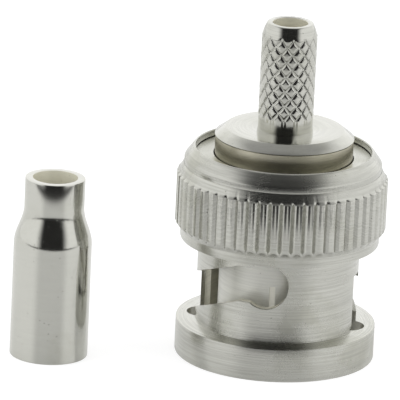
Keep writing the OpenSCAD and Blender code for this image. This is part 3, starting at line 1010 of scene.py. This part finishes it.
@dataclass
class RearBody:
    """The rear body: spigot, chamfered disc and crimp stem with its diamond knurl."""

    spigot_r: float = 3.93
    spigot_wall: float = 0.9
    spigot_z: float = 12.98
    body_end: float = 15.48
    disc_r: float = 4.8
    disc_flat_r: float = 4.07
    disc_z: float = 16.1
    seam: float = 0.07
    seam_in: float = 0.3
    stem_r: float = 1.87
    stem_bore_r: float = 1.2
    stem_plain: float = 0.97
    stem_end: float = 23.6
    stem_taper: float = 0.84
    tip_r: float = 1.57
    taper_bulge: float = 0.035
    diamonds: int = 14
    half_rows: int = 11
    diamond_bearing: float = 266.2
    crown_h: float = 0.03
    diamond_depth: float = 0.11
    columns_per_diamond: int = 12
    rows_per_half: int = 6
    piece: bpy.types.Object | None = field(default=None, init=False)

    @property
    def knurl_z(self) -> float:
        """Height of the knurl's front end."""
        return self.disc_z + self.stem_plain

    @property
    def knurl_end(self) -> float:
        """Height of the knurl's rear end."""
        return self.stem_end - self.stem_taper

    def profile(self) -> Profile:
        """The section of the rear body, with the knurl's rows.

        Returns:
            Points of radius and height, from the spigot's bore round the outside and back inside.
        """
        crown = self.stem_r + self.crown_h
        bore = self.spigot_r - self.spigot_wall
        base = [
            (bore, self.spigot_z),
            (self.spigot_r, self.spigot_z),
            (self.spigot_r, self.body_end),
            (self.disc_r - self.seam_in, self.body_end),
            (self.disc_r - self.seam_in, self.body_end + self.seam),
            (self.disc_r, self.body_end + self.seam),
            (self.disc_flat_r, self.disc_z),
            (self.stem_r, self.disc_z)]
        points = soften(base, {1: 0.08, 5: 0.025, 6: 0.03, 7: 0.03})
        points.append((self.stem_r, self.knurl_z - 0.01))
        rows = self.half_rows * self.rows_per_half
        for k in range(rows + 1):
            points.append((crown, self.knurl_z + (self.knurl_end - self.knurl_z) * k / rows))
        steps = 10
        for k in range(1, steps + 1):
            share = k / steps
            radius = self.stem_r - (self.stem_r - self.tip_r) * share + self.taper_bulge * math.sin(math.pi * share)
            points.append((radius, self.knurl_end + 0.02 + (self.stem_taper - 0.04) * share))
        points += [
            (self.tip_r - 0.04, self.stem_end),
            (self.stem_bore_r + 0.05, self.stem_end),
            (self.stem_bore_r, self.stem_end - 0.05),
            (self.stem_bore_r, self.body_end),
            (bore, self.body_end)]
        return points

    def depth(self, point: Vector) -> float:
        """Depth of the diamond knurl at a point: a pillow inside each diamond, and a rounded V between them.

        Args:
            point: A point on the stem, in millimetres.

        Returns:
            The depth under the crowns' middles, in millimetres.
        """
        around = (math.degrees(math.atan2(point.y, point.x)) - self.diamond_bearing) / 360 * self.diamonds
        along = (point.z - self.knurl_z) / (self.knurl_end - self.knurl_z) * self.half_rows / 2
        nearest = min(abs((around + along + 0.5) % 1 - 0.5), abs((around - along + 0.5) % 1 - 0.5))
        flank = 0.13
        pillow = 0.02 * (1 - nearest / 0.5) ** 2
        return max((self.diamond_depth - 0.02) * (1 - nearest / flank), 0.0) + pillow

    def roll_knurl(self) -> None:
        """Press the diamond pattern into the stem, one depth at a time."""
        only(self.piece)
        bpy.ops.object.mode_set(mode="EDIT")
        crown = self.stem_r + self.crown_h
        low, high = self.knurl_z - 1e-3, self.knurl_end + 1e-3
        mesh = bmesh.from_edit_mesh(self.piece.data)
        wanted = {}
        for vertex in mesh.verts:
            if low < vertex.co.z < high and abs(math.hypot(vertex.co.x, vertex.co.y) - crown) < 1e-3:
                wanted.setdefault(round(self.depth(vertex.co), 3), []).append(vertex.index)
        for depth, indices in wanted.items():
            mesh = bmesh.from_edit_mesh(self.piece.data)
            mesh.verts.ensure_lookup_table()
            bpy.ops.mesh.select_all(action="DESELECT")
            for index in indices:
                mesh.verts[index].select = True
            mesh.select_flush_mode()
            scale_about_axis((crown - depth) / crown)
        bpy.ops.object.mode_set(mode="OBJECT")

    def build(self) -> None:
        """Turn the rear body and roll its knurl."""
        sides = self.diamonds * self.columns_per_diamond
        self.piece = lathe("rear_body_turned", self.profile(), sides, self.diamond_bearing)
        self.roll_knurl()
        place(self.piece, Body.PLUG, "nickel_plate", "rear_body", smooth=38.0)


@dataclass
class CrimpFerrule:
    """The loose crimp ferrule: a wide tube necked down to a narrow one."""

    wide_r: float = 2.68
    wide_wall: float = 0.45
    wide_len: float = 7.95
    necking_len: float = 2.6
    neck_r: float = 2.06
    neck_bore_r: float = 1.53
    length: float = 12.65
    edge: float = 0.08
    piece: bpy.types.Object | None = field(default=None, init=False)

    def axis(self) -> tuple[float, float]:
        """X and Y of the ferrule's axis, in millimetres."""
        low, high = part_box("crimp_ferrule")
        return (low.x + high.x) / 2 / MM, (low.y + high.y) / 2 / MM

    def necking(self, wide: float, narrow: float, steps: int = 24) -> Profile:
        """The smooth step from the wide radius to the neck's, from below."""
        points = []
        for k in range(steps + 1):
            share = (1 - math.cos(math.pi * k / steps)) / 2
            points.append((wide + (narrow - wide) * share, self.wide_len + self.necking_len * k / steps))
        return points

    def build(self) -> None:
        """Draw the tube."""
        bore = self.wide_r - self.wide_wall
        outside = [(bore, 0.0), (self.wide_r, 0.0)] + self.necking(self.wide_r, self.neck_r) + [
            (self.neck_r, self.length), (self.neck_bore_r, self.length)]
        inside = self.necking(bore, self.neck_bore_r)[::-1]
        section = outside + inside
        last = len(outside) - 1
        section = soften(section, {0: 0.06, 1: self.edge, last - 1: self.edge, last: 0.05})
        self.piece = lathe("ferrule_tube", section, 128)
        x, y = self.axis()
        self.piece.location = (x * MM, y * MM, 0)
        place(self.piece, Body.PLUG, "nickel_plate", "crimp_ferrule")


@dataclass
class WaveSpring:
    """Two waved spring washers, crest to crest, between the plug's flange and the thrust washer."""

    inner_r: float = 5.0
    outer_r: float = 5.95
    strip: float = 0.2
    waves: int = 3
    base_z: float = 11.6
    top_z: float = 13.45
    travel: float = 0.9
    piece: bpy.types.Object | None = field(default=None, init=False)

    def build(self) -> None:
        """Press both washers and join them."""
        share = (self.top_z - self.base_z) / 2
        rise = (share - self.strip - 0.02) / 2
        washers = []
        for level, sign in ((0.5, 1), (1.5, -1)):
            middle = self.base_z + share * level
            low, high = middle - self.strip / 2, middle + self.strip / 2
            ring = lathe("spring_washer", [(self.inner_r, low), (self.outer_r, low), (self.outer_r, high),
                                           (self.inner_r, high)], 144)
            only(ring)
            bpy.ops.object.mode_set(mode="EDIT")
            for k in range(144):
                bearing = 2 * math.pi * k / 144
                select_vertices(lambda p, b=bearing: abs(math.remainder(math.atan2(p.y, p.x) - b, 2 * math.pi)) < 0.01)
                bpy.ops.transform.translate(value=(0, 0, sign * rise * math.cos(self.waves * bearing)))
            bpy.ops.object.mode_set(mode="OBJECT")
            washers.append(ring)
        deselect()
        for ring in washers:
            ring.select_set(True)
        bpy.context.view_layer.objects.active = washers[0]
        bpy.ops.object.join()
        self.piece = bpy.context.object
        self.piece.name = "spring_washers"
        place(self.piece, Body.SPRING, "spring_steel", "wave_spring")
        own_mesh(self.piece)


@dataclass
class Wardrobe:
    """Every finish of the part, and which piece wears it."""

    effects: Effects
    nickel: Colour = (0.63, 0.63, 0.58)
    olive: Colour = (0.52, 0.52, 0.45)

    def dress_nut(self, nut: CouplingNut) -> None:
        """Satin turned nickel on the nut."""
        finish = PlatedFinish("nut_nickel", self.nickel, self.olive, 0.24, grain=0.005, fineness=12.0, run=0.16,
                              tone=0.2, spread=0.42, pits=0.16, scratches=0.6, inner_r=5.3)
        dress(finish.build(self.effects), nut.piece)

    def dress_rear_body(self, body: RearBody) -> None:
        """Bright turned nickel on the disc and stem."""
        finish = PlatedFinish("stem_nickel", self.nickel, self.olive, 0.12, grain=0.002, fineness=12.0, spread=0.4,
                              tone=0.12, inner_r=1.22)
        dress(finish.build(self.effects), body.piece)

    def dress_ferrule(self, ferrule: CrimpFerrule) -> None:
        """Smooth drawn nickel on the ferrule."""
        x, y = ferrule.axis()
        finish = PlatedFinish("ferrule_nickel", self.nickel, self.olive, 0.13, grain=0.0006, fineness=5.0, run=0.6,
                              tone=0.03, spread=0.36, pits=0.2, scratches=0.8, axis=(x, y), inner_r=1.56)
        dress(finish.build(self.effects), ferrule.piece)

    def dress_solids(self) -> None:
        """Finishes for the solids that keep their own shape."""
        finishes = {
            "front_body": PlatedFinish("body_nickel", (0.6, 0.57, 0.46), (0.5, 0.48, 0.37), 0.3, grain=0.006,
                                       spread=0.5),
            "closing_washer": PlatedFinish("washer_nickel", self.nickel, self.olive, 0.26, grain=0.004),
            # The contact's bore is painted light: a half-metal copy of its plate that stays bright in the slot's shade.
            "outer_contact": PlatedFinish("contact_nickel", (0.86, 0.86, 0.8), self.nickel, 0.3, grain=0.002,
                                          inner_r=4.2, inner=(0.84, 0.84, 0.78), painted_lit_bore_metal=0.5),
            "thrust_washer": PlatedFinish("spring_steel", (0.5, 0.5, 0.5), (0.38, 0.38, 0.38), 0.3, grain=0.002),
            "center_pin": PlatedFinish("pin_gold", (0.86, 0.62, 0.24), (0.7, 0.48, 0.18), 0.18, grain=0.002),
            # The insulator's glow is painted light that lifts it out of the shade in the contact's slot.
            "insulator": SoftFinish("fluoroplastic", (0.8, 0.79, 0.73), (0.7, 0.69, 0.62), 0.42, painted_glow=0.25),
            "gasket": SoftFinish("silicone_rubber", (0.5, 0.1, 0.07), (0.36, 0.06, 0.045), 0.55)}
        for node, finish in finishes.items():
            dress(finish.build(self.effects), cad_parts[node])

    def dress_spring(self, spring: WaveSpring) -> None:
        """Rolled spring steel on the spring washers."""
        finish = PlatedFinish("rolled_steel", (0.46, 0.46, 0.46), (0.34, 0.34, 0.34), 0.3, grain=0.002, run=1.2)
        dress(finish.build(self.effects), spring.piece)


def main() -> None:
    """Build the camera, the pieces, their finishes and the studio."""
    logging.basicConfig(level=logging.INFO, format="%(name)s: %(message)s")
    StudioCamera().build()
    nut, body, ferrule, spring = CouplingNut(), RearBody(), CrimpFerrule(), WaveSpring()
    for part in (nut, body, ferrule, spring):
        part.build()
    wardrobe = Wardrobe(Effects())
    wardrobe.dress_nut(nut)
    wardrobe.dress_rear_body(body)
    wardrobe.dress_ferrule(ferrule)
    wardrobe.dress_spring(spring)
    wardrobe.dress_solids()
    Studio().build()


if __name__ == "__main__":
    main()
